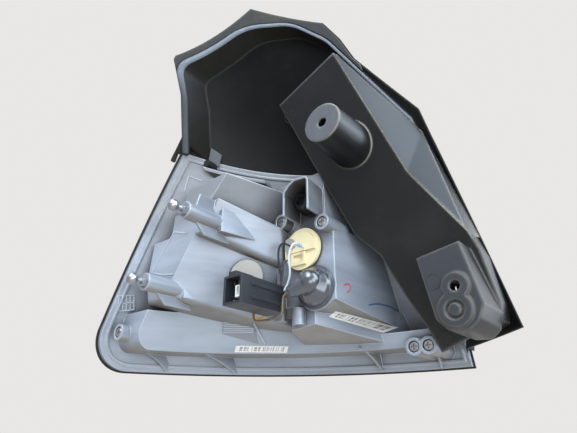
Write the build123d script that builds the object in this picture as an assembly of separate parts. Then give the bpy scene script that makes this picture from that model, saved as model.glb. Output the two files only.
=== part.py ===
# Right-hand tail light cluster, modelled piece by piece, in millimetres.
# +X points inboard, +Y rearward (the way the lens faces) and +Z up.
# The origin is the middle of the upper boss bore, on the face that seats on the car body;
# every fixing goes into the body along -Y.
import os

from build123d import *

# Outer skin shared by lens and trim: a large round cylinder that leans with the car corner
SKIN_RADIUS = 240.0
SKIN_CENTRE_X = 37.8
SKIN_REAR_Y = 97.4
SKIN_CENTRE_Y = SKIN_REAR_Y - SKIN_RADIUS
LEAN = Vector(0.20, -0.36, 1.0)
SKIN_LOW = -190.0
SKIN_HIGH = 180.0
LENS_WALL = 3.0
BEAD_HEIGHT = 2.0
BEAD_WIDTH = 4.0
FLANGE_WALL = 3.5
EDGE_STEP = 1.2
LENS_INSET = 2.0
RIM_RIB = 1.2

# Lamp outline seen from the side, as (y, z), and the plane where it ends inboard
LAMP_TOP_FRONT = (-19.5, 24.0)
LAMP_TOP_REAR = (175.0, -21.0)
LAMP_BOTTOM = -174.0
LAMP_FRONT_LOW = -40.5
LAMP_CORNER = 32.0
LAMP_INBOARD = 38.0
FAR = 300.0

# Housing walls and stepped buckets
WALL = 2.5
ARM_FRONT = -20.0
ARM_EDGE = 6.0
SHELF_DEPTH = 34.0
SHELF_LOW = -158.0
SHELF_HIGH = -126.0
SHELF_INBOARD = -50.0
SHELF_INBOARD_HIGH = -146.0
PLATE_Y = 48.0
BACK_Y = 170.0

# Holders, as (x, z) of their axes, all along Y
TURN_AXIS = (-55.4, -79.8)
TAIL_AXIS = (-43.9, -114.4)
REVERSE_AXIS = (-46.5, -42.0)
HOLDER_BORE = 12.0
SMALL_BORE = 8.0
FIT = 0.3
SEAL_HEIGHT = 1.5
TURN_FLANGE = 18.5
TAIL_FLANGE = 13.5
REVERSE_FLANGE = 9.5
REVERSE_KNOB = 7.5
REVERSE_KNOB_Y = 31.0
SIDE_FLANGE = 14.0
HOLDER_FLANGE = 2.5
NECK_LENGTH = 11.5
SOCKET_DEPTH = 8.0
SIDE_ALONG = 0.535
SIDE_RISE = 33.7
SIDE_HOLDER_WALL = 3.0
COLLAR_RADIUS = 19.0

# Studs, as (x, z)
UPPER_STUD = (-100.0, -63.0)
LOWER_STUD = (-142.0, -113.0)
STUD_SEAT_Y = -47.0
TOWER_RADIUS = 7.0
STUD_SHANK = 2.6
STUD_HOLE_DEPTH = 14.0
COLLAR_HEX = 9.0
COLLAR_HEIGHT = 3.5
NECK_RADIUS = 2.4
BALL_RADIUS = 4.6
BALL_Y = -58.0

# Screws, as (x, z)
HOOD_SCREWS = ((-73.4, -52.3), (-29.5, -64.0))
HOOD_SCREW_Y = 37.0
INBOARD_SCREWS = ((6.5, -159.0), (18.6, -159.0))
INBOARD_SCREW_Y = 108.0
CORNER_SCREW = (-199.0, -143.5)
CORNER_SCREW_Y = -30.0
SCREW_HEAD = 4.4
SCREW_HEAD_HEIGHT = 2.6
SCREW_SHANK = 1.9
SCREW_LENGTH = 14.0
BOSS_WALL = 2.6

# Connector, a box along Y
CONNECTOR_X = (-85.0, -66.0)
CONNECTOR_Z = (-135.0, -113.0)
CONNECTOR_Y = (-15.0, 33.0)
CONNECTOR_WALL = 1.8
MOUTH_DEPTH = 24.0
INSERT_DEPTH = 9.0
TOWER_X = (-77.0, -69.0)
TOWER_Z = (-129.0, -120.0)
TOWER_LENGTH = 10.5
BLADES = ((-81.0, -117.0), (-76.0, -116.8), (-71.0, -117.0), (-81.0, -131.0), (-71.0, -131.0))
BLADE_LENGTH = 8.0
RAIL = 1.5
TONGUE_X = (-86.0, -76.5)
TONGUE_Y = 6.0
TONGUE_WALL = 2.5
WIRE_RADIUS = 0.9
WIRE_BEND = 4.0
WIRE_ENTRY = 4.0
WIRE_POSTS = ((-80.0, 4.5, -138.4, -119.0), (-61.8, 5.0, -143.0, -129.4))

# Trim panel: outline seen along Y, as (x, z)
GARNISH_OUTLINE = (
    (-178.0, -130.0), (-143.3, 16.0), (-132.8, 54.0), (-127.5, 99.0), (-125.5, 103.0), (-64.0, 153.0),
    (-8.0, 129.4), (2.4, 112.0), (10.5, 90.5), (53.0, 28.5), (56.6, 7.5), (74.3, -86.0), (86.5, -151.5),
    (40.0, -160.5), (20.0, -230.0),
)
STEP_TOP = ((-124.0, 94.0), (-72.0, 135.0), (-36.0, 134.0), (-10.0, 112.0))
STEP_TOP_RADII = (22.0, 40.0, 30.0, 30.0)
STEP_INBOARD = ((43.0, 22.0), (46.5, 6.0), (64.0, -86.0), (75.0, -142.0), (40.0, -149.0), (15.0, -230.0))
STEP_OUTBOARD = ((-173.5, -130.0), (-138.5, 17.0), (-127.5, 67.0))
FLOOR_OUTBOARD = ((-200.0, -130.0), (-161.0, 18.0), (-137.0, 67.0))
RIM_HEIGHT = 1.8
LAND_DEPTH = 19.0
TRIM_WALL = 2.5
TRIM_GAP = 1.0
TRIM_LOW = 16.0
FOAM_HEIGHT = 1.5
FOAM_GAP = 1.0

# Bracket: a raked plane y = BRACKET_Y - RAKE z + SWEEP x carries the boss and the block
BRACKET_Y = 40.0
RAKE = 0.36
SWEEP = 0.10
BRACKET_WALL = 3.0
BOSS_TOP = 16.6
BOSS_BASE = 20.5
BORE_RADIUS = 4.0
BORE_LENGTH = 10.0
BLOCK_Y = 60.0
PAD_HEIGHT = 2.0
PAD_BORE = (62.9, -129.9)
PAD_BORE_RADIUS = 3.6
PAD_BORE_LENGTH = 9.0
PAD_SMALL = 9.5
PAD_PIN = (60.5, -145.5)
PAD_LARGE = 12.0
PIN_RADIUS = 4.3
PIN_HEIGHT = 2.5

PANEL = (
    (-57, 54.5), (6, 78), (41, -34), (72.4, -85.6), (76.5, -100), (80, -135), (78, -148),
    (30.6, -166), (27, -153), (14.3, -123), (2.4, -90.6), (-14.5, -71.4), (-28.4, -32.4),
)
RIDGE = ((6, 78), (41, -34), (71.5, -88))
FLANK = (Vector(-2, 33, 96), Vector(50.9, 74.6, 9.7), Vector(73.5, 99, -84))
FLANK_WALL = 6.0
SIDE_WALL = ((30.6, -166), (78, -148), (80, -135), (76.5, -100), (72.4, -85.6), (20, -100))
SIDE_WALL_FROM = 66.0
BLOCK = (
    (37.7, -104.8), (70, -98.8), (79.2, -143.4), (74.8, -154.3), (67.6, -159.8), (54.7, -159.3), (46.3, -150.7),
)
RIB = 2.0
# Gussets under the shelf, as (x, reach forward), and the guide pin
FINS = ((-200.0, 31.0), (-163.0, 54.0), (-42.4, 37.0), (11.0, 9.0))
GUIDE_PIN = (-134.0, 13.0)
GUIDE_PIN_RADIUS = 4.0
GUIDE_PIN_LENGTH = 8.0

os.makedirs("parts", exist_ok=True)


def along_y(x, y, z):
    # a working plane at a point, its normal pointing rearward and its up the part's up
    return Plane((x, y, z), x_dir=(-1, 0, 0), z_dir=(0, 1, 0))


def rod(x, z, radius, y_from, y_to):
    return extrude(along_y(x, y_from, z) * Circle(radius), y_to - y_from)


def cone(x, z, radius_from, radius_to, y_from, y_to):
    start = along_y(x, y_from, z) * Circle(radius_from)
    end = along_y(x, y_to, z) * Circle(radius_to)
    return loft([start.face(), end.face()])


def ring(x, z, outer, inner, y_from, y_to):
    return rod(x, z, outer, y_from, y_to) - rod(x, z, inner, y_from, y_to)


def prism_y(points, y_from, y_to):
    # points are (x, z)
    outline = Face(Wire.make_polygon([(x, y_from, z) for x, z in points]))
    return Solid.extrude(outline, Vector(0, y_to - y_from, 0))


def prism_z(points, z_from, z_to):
    outline = Face(Wire.make_polygon([(x, y, z_from) for x, y in points]))
    return Solid.extrude(outline, Vector(0, 0, z_to - z_from))


def ruled(points_from, y_from, points_to, y_to):
    start = Wire.make_polygon([(x, y_from, z) for x, z in points_from])
    end = Wire.make_polygon([(x, y_to, z) for x, z in points_to])
    return Solid.make_loft([start, end], ruled=True)


def skin_base():
    return Location(
        (SKIN_CENTRE_X + LEAN.X * SKIN_LOW, SKIN_CENTRE_Y + LEAN.Y * SKIN_LOW, SKIN_LOW)
    )


def skin_core(radius):
    disc = (skin_base() * Circle(radius)).face()
    return Solid.extrude(disc, LEAN * (SKIN_HIGH - SKIN_LOW))


def skin_layer(outer, inner):
    near = CenterArc((0, 0), inner, 45, 140)
    far = CenterArc((0, 0), outer, 45, 140)
    sector = make_face([far, near, Line(near @ 0, far @ 0), Line(near @ 1, far @ 1)])
    return Solid.extrude((skin_base() * sector).face(), LEAN * (SKIN_HIGH - SKIN_LOW))


def skin_y(x, z, radius):
    # how far rearward a skin of this radius lies at a point seen along Y
    across = x - SKIN_CENTRE_X - LEAN.X * z
    return SKIN_CENTRE_Y + LEAN.Y * z + (radius**2 - across**2) ** 0.5


def lamp_block(inset):
    # everything within the lamp outline, drawn in by an inset
    outline = Polygon(
        LAMP_TOP_FRONT, LAMP_TOP_REAR, (LAMP_TOP_REAR[0], LAMP_BOTTOM), (LAMP_FRONT_LOW, LAMP_BOTTOM),
        align=None,
    )
    corner = outline.vertices().sort_by(Axis.X)[0]
    outline = fillet(corner, LAMP_CORNER)
    outline = offset(outline, -inset, kind=Kind.INTERSECTION) if inset else outline
    side = (Plane.YZ.offset(-FAR) * outline).face()
    return Solid.extrude(side, Vector(FAR + LAMP_INBOARD - inset, 0, 0))


def keep(node, shape):
    shape.label = node
    export_step(shape, "parts/" + node + ".step")


# Stepped buckets of the outboard arm from the bottom up: plan outline (x, y), floor height at the
# front, fall of the floor per mm rearward, rise, and how far each wall leans inboard per mm of rise
STEPS = (
    (((-176, ARM_FRONT), (-141, ARM_FRONT), (-82, 88), (-82, BACK_Y), (-290, BACK_Y)), -121, 0.20, 60, 0.2),
    (((-152, ARM_FRONT), (-107, ARM_FRONT), (-78.5, 48), (-78.5, BACK_Y), (-250, BACK_Y)), -71, 0.29, 32, 0.2),
    (((-148, ARM_FRONT), (-113, ARM_FRONT), (-84, 48), (-70, BACK_Y), (-230, BACK_Y)), -49, 0.12, 32, 0.5),
)

# Rear bucket behind the holder plate and the wedge box below it, as (x, z) at front and back
REAR_FRONT = ((-86, -10), (-33, -10), (-33, -62), (-25.5, -66), (-25.5, -127), (-86, -127))
REAR_BACK = ((-112, -2), (-29, -2), (-29, -62), (-8, -66), (-8, -146), (-112, -146))
WEDGE_Y = PLATE_Y + 3
WEDGE_FRONT = ((-72, -118), (-48, -118), (-48, -143), (-72, -146))
WEDGE_BACK = ((-120, -130), (6, -130), (6, -162), (-120, -162))

# Hood around the reversing lamp holder, as (x, z) at its rim, and the shift of its foot
HOOD_RIM = ((-52.4, -61), (-52.4, -38.7), (-46.6, -33), (-40.5, -29.9), (-28.7, -31), (-26, -34), (-26, -61))
HOOD_SHIFT = (-9, 6)
HOOD_Y = 15.0
HOOD_WALL = 1.8

# Piers that carry the stud towers, as (x, y) outlines and their span in z
PIERS = (
    (((-110, -14), (-93, -14), (-86, 20), (-110, 20)), (-72, -52)),
    (((-152, -14), (-134, -14), (-128, 10), (-152, 10)), (-121, -104)),
)


def inset_points(points, inset):
    # move every side of a plane outline inward by the same amount
    count = len(points)
    area = sum(
        points[i - 1][0] * points[i][1] - points[i][0] * points[i - 1][1] for i in range(count)
    )
    side = inset if area > 0 else -inset
    moved = []
    for i in range(count):
        before = Vector(*points[i]) - Vector(*points[i - 1])
        after = Vector(*points[(i + 1) % count]) - Vector(*points[i])
        n_before = Vector(-before.Y, before.X).normalized()
        n_after = Vector(-after.Y, after.X).normalized()
        shift = (n_before + n_after) * (side / (1 + n_before.dot(n_after)))
        moved.append((points[i][0] + shift.X, points[i][1] + shift.Y))
    return moved


def shifted(points, shift):
    return [(x + shift[0], z + shift[1]) for x, z in points]


def on_floor(edge, floor):
    return floor.distance_to(edge.center()) < 0.01


def step_body(outline, z_front, drop, rise, lean, inset):
    # one bucket step, or the room inside it when an inset is given
    points = inset_points(outline, inset) if inset else outline
    floor = Face(Wire.make_polygon([(x, y, z_front - drop * (y - ARM_FRONT) + inset) for x, y in points]))
    way = Vector(lean, LEAN.Y, 1)
    body = Solid.extrude(floor, way * (rise - 2 * inset))
    rising = [e for e in body.edges() if abs(e.tangent_at(0.5).dot(way.normalized())) > 0.999]
    front = sorted(rising, key=lambda e: e.center().Y)[:3]
    feet = [e for e in body.edges() if on_floor(e, floor) and e.center().Y < PLATE_Y]
    return body.fillet(ARM_EDGE - inset, front + feet)


def web(x, thickness, points):
    # an upright plate across X, its outline given as (y, z)
    outline = Face(Wire.make_polygon([(x - thickness / 2, y, z) for y, z in points]))
    return Solid.extrude(outline, Vector(thickness, 0, 0))


def band(z_low, z_high):
    return Pos(0, 0, (z_low + z_high) / 2) * Box(4 * FAR, 4 * FAR, z_high - z_low)


def shelf_band(inset):
    # the shelf's height, which drops inboard
    outboard = Pos(SHELF_INBOARD - inset - FAR, 0, 0) * Box(2 * FAR, 4 * FAR, 4 * FAR)
    tall = band(SHELF_LOW + inset, SHELF_HIGH - inset) & outboard
    return tall + band(SHELF_LOW + inset, SHELF_INBOARD_HIGH - inset)


def total(shapes):
    whole = shapes[0]
    for shape in shapes[1:]:
        whole = whole + shape
    return whole


def side_plane(height):
    # on the inner wall of the lowest step, raised along its normal
    start, end = STEPS[0][0][1:3]
    along = Vector(end[0] - start[0], end[1] - start[1], -STEPS[0][2] * (end[1] - start[1]))
    way = Vector(STEPS[0][4], LEAN.Y, 1)
    foot = Vector(start[0], start[1], STEPS[0][1]) + along * SIDE_ALONG + way * SIDE_RISE
    normal = along.cross(way).normalized()
    return Plane(foot + normal * height, x_dir=along, z_dir=normal)


lens_inner = SKIN_RADIUS - LENS_WALL
flange_outer = lens_inner - BEAD_HEIGHT
flange_inner = flange_outer - FLANGE_WALL
flange_middle = flange_outer - FLANGE_WALL / 2

outer_lens = skin_layer(SKIN_RADIUS, lens_inner) & lamp_block(LENS_INSET)
keep("outer_lens", outer_lens)
lens_bead = skin_layer(lens_inner, flange_outer) & (lamp_block(0) - lamp_block(EDGE_STEP + BEAD_WIDTH))
keep("lens_bead", lens_bead)

# Rear housing: flange on the skin, a shelf along it, three arm steps, rear bucket, wedge and collar,
# with the stud towers, screw bosses and pin seat standing on them
flange = skin_layer(flange_outer, flange_inner) & lamp_block(EDGE_STEP)
border = skin_layer(flange_middle, flange_inner - RIM_RIB) & (lamp_block(5) - lamp_block(7))
flange = flange + (border - rod(*GUIDE_PIN, GUIDE_PIN_RADIUS, -FAR, FAR))
shelf_front = flange_outer - SHELF_DEPTH
shelf = skin_layer(flange_middle, shelf_front) & lamp_block(15)
shelf = shelf & shelf_band(0)
boss_radius = SCREW_HEAD + BOSS_WALL
buckets = [step_body(*step, 0) for step in STEPS]
buckets.append(ruled(REAR_FRONT, PLATE_Y, REAR_BACK, BACK_Y))
buckets.append(ruled(WEDGE_FRONT, WEDGE_Y, WEDGE_BACK, BACK_Y))
buckets.append(rod(*TAIL_AXIS, COLLAR_RADIUS, PLATE_Y, BACK_Y))
posts = [rod(x, z, TOWER_RADIUS, STUD_SEAT_Y, 0) for x, z in (UPPER_STUD, LOWER_STUD)]
posts += [rod(x, z, boss_radius, HOOD_SCREW_Y, PLATE_Y + 20) for x, z in HOOD_SCREWS]
posts += [rod(x, z, boss_radius, INBOARD_SCREW_Y, BACK_Y) for x, z in INBOARD_SCREWS]
posts.append(rod(*CORNER_SCREW, boss_radius, CORNER_SCREW_Y, 5))
for x, z in (UPPER_STUD, LOWER_STUD):
    posts.append(web(x, RIB, ((STUD_SEAT_Y + 4, z), (ARM_FRONT - 6, z - 15), (0, z - 15), (0, z))))
posts.append(web(UPPER_STUD[0], RIB, ((STUD_SEAT_Y + 8, UPPER_STUD[1]), (0, UPPER_STUD[1]), (0, -44), (-34, -44))))
for outline, span in PIERS:
    posts.append(prism_z(outline, *span))
core = skin_core(flange_middle)
housing = flange + shelf + (total(buckets) & core & lamp_block(9)) + (total(posts) & core)

rooms = [skin_layer(SKIN_RADIUS, shelf_front + WALL) & lamp_block(15 + WALL) & shelf_band(WALL)]
rooms += [step_body(*step, WALL) for step in STEPS]
rooms.append(ruled(inset_points(REAR_FRONT, WALL), PLATE_Y + WALL, inset_points(REAR_BACK, WALL), BACK_Y))
rooms.append(ruled(inset_points(WEDGE_FRONT, WALL), WEDGE_Y + WALL, inset_points(WEDGE_BACK, WALL), BACK_Y))
rooms.append(rod(*TAIL_AXIS, COLLAR_RADIUS - WALL, PLATE_Y + WALL, BACK_Y))
housing = housing - (total(rooms) & lamp_block(9 + WALL))

hood_foot = shifted(HOOD_RIM, HOOD_SHIFT)
hood_inner = inset_points(HOOD_RIM, HOOD_WALL)
hood_inner[0] = (hood_inner[0][0], HOOD_RIM[0][1] - HOOD_WALL)
hood_inner[-1] = (hood_inner[-1][0], HOOD_RIM[-1][1] - HOOD_WALL)
hood = ruled(HOOD_RIM, HOOD_Y, hood_foot, PLATE_Y + 1)
hood_room = ruled(hood_inner, HOOD_Y, shifted(hood_inner, HOOD_SHIFT), PLATE_Y + 1)
housing = housing + (hood - hood_room)


def fin(x, reach):
    # a gusset between the flange and the shelf, its free edge drawn in
    low = LAMP_BOTTOM + 2
    high = SHELF_LOW + 2
    foot = skin_y(x, (low + high) / 2, flange_inner)
    middle = (foot - 0.4 * reach, low + 0.58 * (high - low))
    free = ThreePointArc((foot - reach, high), middle, (foot, low))
    corner = Polyline((foot, low), (foot + 2, low), (foot + 2, high), (foot - reach, high))
    return extrude(Plane.YZ.offset(x - RIB / 2) * make_face([free, corner]), RIB)


extras = [
    Pos(sum(TONGUE_X) / 2, (TONGUE_Y + PLATE_Y + 1) / 2, CONNECTOR_Z[1] + TONGUE_WALL / 2)
    * Box(TONGUE_X[1] - TONGUE_X[0], PLATE_Y + 1 - TONGUE_Y, TONGUE_WALL)
]
for x, radius, z_low, z_high in WIRE_POSTS:
    extras.append(Pos(x, WEDGE_Y + 1 - radius, (z_low + z_high) / 2) * Cylinder(radius, z_high - z_low))
rail = skin_layer(flange_middle, flange_inner - 8) & (lamp_block(12) - lamp_block(14.5))
extras.append(rail & Pos(-115, 0, 0) * Box(40, 2 * FAR, 60))
housing = housing + total(extras)
housing = housing + (total([fin(*place) for place in FINS]) & core)

for axis, radius in ((TURN_AXIS, HOLDER_BORE), (TAIL_AXIS, HOLDER_BORE), (REVERSE_AXIS, SMALL_BORE)):
    housing = housing - rod(*axis, radius, PLATE_Y - 2, PLATE_Y + WALL + 8)
housing = housing - Cylinder(SMALL_BORE, 4 * WALL).moved(Location(side_plane(0)))
for x, z in (UPPER_STUD, LOWER_STUD):
    housing = housing - rod(x, z, STUD_SHANK, STUD_SEAT_Y, STUD_SEAT_Y + STUD_HOLE_DEPTH)
screws = [(x, HOOD_SCREW_Y, z) for x, z in HOOD_SCREWS] + [(x, INBOARD_SCREW_Y, z) for x, z in INBOARD_SCREWS]
screws.append((CORNER_SCREW[0], CORNER_SCREW_Y, CORNER_SCREW[1]))
for x, y, z in screws:
    housing = housing - rod(x, z, SCREW_HEAD + FIT, y, y + SCREW_HEAD_HEIGHT)
    housing = housing - rod(x, z, SCREW_SHANK, y, y + SCREW_HEAD_HEIGHT + SCREW_LENGTH)
keep("rear_housing", housing)


def screw(x, y, z):
    head = rod(x, z, SCREW_HEAD, y + 0.4, y + SCREW_HEAD_HEIGHT)
    head = chamfer(head.edges().group_by(Axis.Y)[0], 0.9)
    cross = Pos(x, y, z) * Box(1.0, 3.0, 5.0) + Pos(x, y, z) * Box(5.0, 3.0, 1.0)
    return head - cross + rod(x, z, SCREW_SHANK, y + SCREW_HEAD_HEIGHT, y + SCREW_HEAD_HEIGHT + SCREW_LENGTH)


keep("hood_screws", Compound([screw(*place) for place in screws[0:2]]))
keep("inboard_screws", Compound([screw(*place) for place in screws[2:4]]))
keep("corner_screw", screw(*screws[4]))


def ball_stud(x, z):
    collar = extrude(along_y(x, STUD_SEAT_Y, z) * RegularPolygon(COLLAR_HEX / 2, 6, major_radius=False), -COLLAR_HEIGHT)
    neck = rod(x, z, NECK_RADIUS, BALL_Y, STUD_SEAT_Y - COLLAR_HEIGHT)
    shank = rod(x, z, STUD_SHANK, STUD_SEAT_Y, STUD_SEAT_Y + STUD_HOLE_DEPTH)
    return collar + neck + shank + Pos(x, BALL_Y, z) * Sphere(BALL_RADIUS)


keep("upper_ball_stud", ball_stud(*UPPER_STUD))
keep("lower_ball_stud", ball_stud(*LOWER_STUD))


# Trim panel: skin flush with the lens, a step wall and a land round its free edges
def trim_block(outline, inset, rounded=()):
    points = inset_points(outline, inset)
    face = Face(Wire.make_polygon([(x, -FAR, z) for x, z in points]))
    for number, radius in rounded:
        place = Vector(points[number][0], -FAR, points[number][1])
        corner = min(face.vertices(), key=lambda vertex: (Vector(vertex) - place).length)
        face = face.fillet_2d(radius - inset, [corner])
    return Solid.extrude(face, Vector(0, 2 * FAR, 0))


def step_block(outboard, inset):
    top = [(len(outboard) + i, radius) for i, radius in enumerate(STEP_TOP_RADII)]
    return trim_block(outboard + STEP_TOP + STEP_INBOARD, inset, top)


def lamp_top(y):
    fall = (LAMP_TOP_REAR[1] - LAMP_TOP_FRONT[1]) / (LAMP_TOP_REAR[0] - LAMP_TOP_FRONT[0])
    return LAMP_TOP_FRONT[1] + TRIM_GAP + fall * (y - LAMP_TOP_FRONT[0])


land_top = SKIN_RADIUS - LAND_DEPTH
step = step_block(STEP_OUTBOARD, 0)
step_wall = step_block(STEP_OUTBOARD, -TRIM_WALL)
garnish = skin_layer(SKIN_RADIUS, SKIN_RADIUS - TRIM_WALL) & step_block(FLOOR_OUTBOARD, 0)
rim = skin_layer(SKIN_RADIUS, land_top - RIM_HEIGHT) & (step_wall - step)
garnish = garnish + rim
garnish = garnish + (skin_layer(land_top + TRIM_WALL, land_top) & (trim_block(GARNISH_OUTLINE, 0) - step))
lamp_side = FAR + LAMP_INBOARD + TRIM_GAP
seam_front = LAMP_TOP_FRONT[0] - TRIM_GAP
below_seam = (
    (-FAR, TRIM_LOW), (seam_front, TRIM_LOW), (seam_front, lamp_top(seam_front)), (FAR, lamp_top(FAR)),
    (FAR, -FAR), (-FAR, -FAR),
)
garnish = garnish - web(-FAR + lamp_side / 2, lamp_side, below_seam)
garnish = max(garnish.solids(), key=lambda piece: piece.volume)
keep("garnish", garnish)
foam_ring = trim_block(GARNISH_OUTLINE, FOAM_GAP) - step_block(STEP_OUTBOARD, -TRIM_WALL - FOAM_GAP)
garnish_seal = skin_layer(land_top, land_top - FOAM_HEIGHT) & foam_ring
garnish_seal = garnish_seal & Pos(-60, 0, 120) * Box(150, 2 * FAR, 100)
garnish_seal = max(garnish_seal.solids(), key=lambda piece: piece.volume)
keep("garnish_seal", garnish_seal)


# Mounting bracket: raked panel with a sloping flank, tall boss, block with a keyhole pad
def on_panel(x, z):
    return Vector(x, BRACKET_Y - RAKE * z + SWEEP * x, z)


def sheet(corners, thickness):
    return Solid.extrude(Face(Wire.make_polygon(corners)), Vector(0, thickness, 0))


panel = sheet([on_panel(x, z) for x, z in PANEL], BRACKET_WALL)
ridge = [on_panel(x, z) for x, z in RIDGE]
flank = [
    sheet([ridge[0], ridge[1], FLANK[1]], FLANK_WALL),
    sheet([ridge[0], FLANK[1], FLANK[0]], FLANK_WALL),
    sheet([ridge[1], ridge[2], FLANK[1]], FLANK_WALL),
    sheet([ridge[2], FLANK[2], FLANK[1]], FLANK_WALL),
]
wide = [on_panel(x, z) for x, z in ((-150, 120), (150, 120), (150, -200), (-150, -200))]
wide = [corner + Vector(0, BRACKET_WALL, 0) for corner in wide]
ahead = Solid.extrude(Face(Wire.make_polygon(wide)), Vector(0, -FAR, 0))
side_wall = prism_y(SIDE_WALL, 0, BACK_Y) - prism_y(inset_points(SIDE_WALL, BRACKET_WALL), 0, BACK_Y)
front = sheet([corner - Vector(0, BRACKET_WALL, 0) for corner in wide], FAR)
side_wall = side_wall & front & (Pos(SIDE_WALL_FROM + FAR, 0, 0) * Box(2 * FAR, 2 * FAR, 2 * FAR))
boss = cone(0, 0, BOSS_TOP, BOSS_BASE, 0, 60) & ahead
boss_room = cone(0, 0, BOSS_TOP - BRACKET_WALL - 1, BOSS_BASE - BRACKET_WALL - 1, BORE_LENGTH, 75)
block = prism_y(BLOCK, BLOCK_Y, FAR) & ahead
block = block.solids()[0]
rims = [e for e in block.edges() if abs(e.tangent_at(0.5).Y) > 0.999]
block = block.fillet(6, sorted(rims, key=lambda e: e.center().Z)[:4])
block_room = prism_y(inset_points(BLOCK, 2 * BRACKET_WALL), BLOCK_Y + PAD_BORE_LENGTH, FAR)
pad = rod(*PAD_BORE, PAD_SMALL, BLOCK_Y - PAD_HEIGHT, BLOCK_Y + 1)
pad = pad + rod(*PAD_PIN, PAD_LARGE, BLOCK_Y - PAD_HEIGHT, BLOCK_Y + 1)
bracket = panel + total(flank) + side_wall + boss + block + pad
bracket = bracket - boss_room - block_room
bracket = bracket - rod(0, 0, BORE_RADIUS, -1, 2 * BORE_LENGTH)
bracket = bracket - rod(*PAD_BORE, PAD_BORE_RADIUS, 0, BLOCK_Y + 2 * PAD_BORE_LENGTH)
bracket = bracket - ring(*PAD_PIN, PIN_RADIUS + 2.2, PIN_RADIUS, BLOCK_Y - PAD_HEIGHT, BLOCK_Y)
bracket = (bracket & skin_core(land_top)) - rim
bracket = max(bracket.solids(), key=lambda piece: piece.volume)
keep("mount_bracket", bracket)


# Bulb holders on the plate, their seals and bulbs, all turned about axes along Y
flange_face = PLATE_Y - SEAL_HEIGHT - HOLDER_FLANGE
seal_face = PLATE_Y - SEAL_HEIGHT
neck_end = seal_face + NECK_LENGTH


def holder(axis, flange_radius, bore, socket):
    body = rod(*axis, flange_radius, flange_face, seal_face) + rod(*axis, bore - FIT, seal_face, neck_end)
    return body - rod(*axis, socket + FIT, neck_end - SOCKET_DEPTH, neck_end)


def bulb(axis, base, glass, length):
    envelope = rod(*axis, glass, neck_end, neck_end + length)
    envelope = chamfer(envelope.edges().group_by(Axis.Y)[-1], 0.4 * glass)
    return envelope + rod(*axis, base, neck_end - SOCKET_DEPTH, neck_end)


turn_x, turn_z = TURN_AXIS
turn_holder = holder(TURN_AXIS, TURN_FLANGE, HOLDER_BORE, 7)
upper_half = Pos(turn_x, 0, turn_z + 17) * Box(60, 2 * FAR, 40)
turn_holder = turn_holder + (rod(*TURN_AXIS, 15, flange_face - 2, flange_face) & upper_half)
grip = Pos(turn_x - 3, flange_face - 1, turn_z - 9) * (Box(15, 2, 11) - Box(10, 8, 7))
turn_holder = turn_holder + grip
keep("turn_bulb_holder", turn_holder)
keep("tail_bulb_holder", holder(TAIL_AXIS, TAIL_FLANGE, HOLDER_BORE, 7))
knob = rod(*REVERSE_AXIS, REVERSE_KNOB, REVERSE_KNOB_Y, flange_face)
knob = chamfer(knob.edges().group_by(Axis.Y)[0], 1.2) - rod(*REVERSE_AXIS, 4.5, REVERSE_KNOB_Y, REVERSE_KNOB_Y + 5)
keep("reverse_bulb_holder", holder(REVERSE_AXIS, REVERSE_FLANGE, SMALL_BORE, 5) + knob)
keep("turn_seal", ring(*TURN_AXIS, HOLDER_BORE + 3, HOLDER_BORE, seal_face, PLATE_Y))
keep("tail_seal", ring(*TAIL_AXIS, TAIL_FLANGE, HOLDER_BORE, seal_face, PLATE_Y))
keep("reverse_seal", ring(*REVERSE_AXIS, REVERSE_FLANGE, SMALL_BORE, seal_face, PLATE_Y))
keep("turn_bulb", bulb(TURN_AXIS, 7, 9.5, 20))
keep("tail_bulb", bulb(TAIL_AXIS, 7, 9.5, 20))
keep("reverse_bulb", bulb(REVERSE_AXIS, 5, 6.5, 17))


# Side marker holder on the sloping wall of the lowest step
def side_rod(radius, low, high):
    return extrude(side_plane(low) * Circle(radius), high - low)


side_top = SEAL_HEIGHT + SIDE_HOLDER_WALL
side_holder = side_rod(SIDE_FLANGE, SEAL_HEIGHT, side_top) + side_rod(SMALL_BORE - FIT, -SOCKET_DEPTH, SEAL_HEIGHT)
side_holder = side_holder - side_rod(4 + FIT, -SOCKET_DEPTH, 3 - SOCKET_DEPTH)
keep("side_bulb_holder", side_holder)
keep("side_seal", side_rod(SMALL_BORE + 3, 0, SEAL_HEIGHT) - side_rod(SMALL_BORE, 0, SEAL_HEIGHT))
side_bulb = side_rod(4, -SOCKET_DEPTH, 3 - SOCKET_DEPTH) + side_rod(6, -SOCKET_DEPTH - 12, -SOCKET_DEPTH)
keep("side_bulb", side_bulb)

# Reflector: three cones standing on the inside of the plate, joined by a face plate
cup_foot = PLATE_Y + WALL
CUP_FACE = 66.0
CUP_WALL = 1.5
tail_mouth = COLLAR_RADIUS - WALL - CUP_WALL - 2 * FIT
cups = ((TURN_AXIS, 12.2, 17.5), (TAIL_AXIS, 12.2, tail_mouth), (REVERSE_AXIS, 8.5, 9.6))
reflector = prism_y(inset_points(REAR_FRONT, 5), CUP_FACE, CUP_FACE + CUP_WALL)
for axis, foot, mouth in cups:
    reflector = reflector + cone(*axis, foot + CUP_WALL, mouth + CUP_WALL, cup_foot, CUP_FACE + CUP_WALL)
for axis, foot, mouth in cups:
    reflector = reflector - cone(*axis, foot, mouth, cup_foot, CUP_FACE + CUP_WALL)
keep("reflector", reflector)

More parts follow.
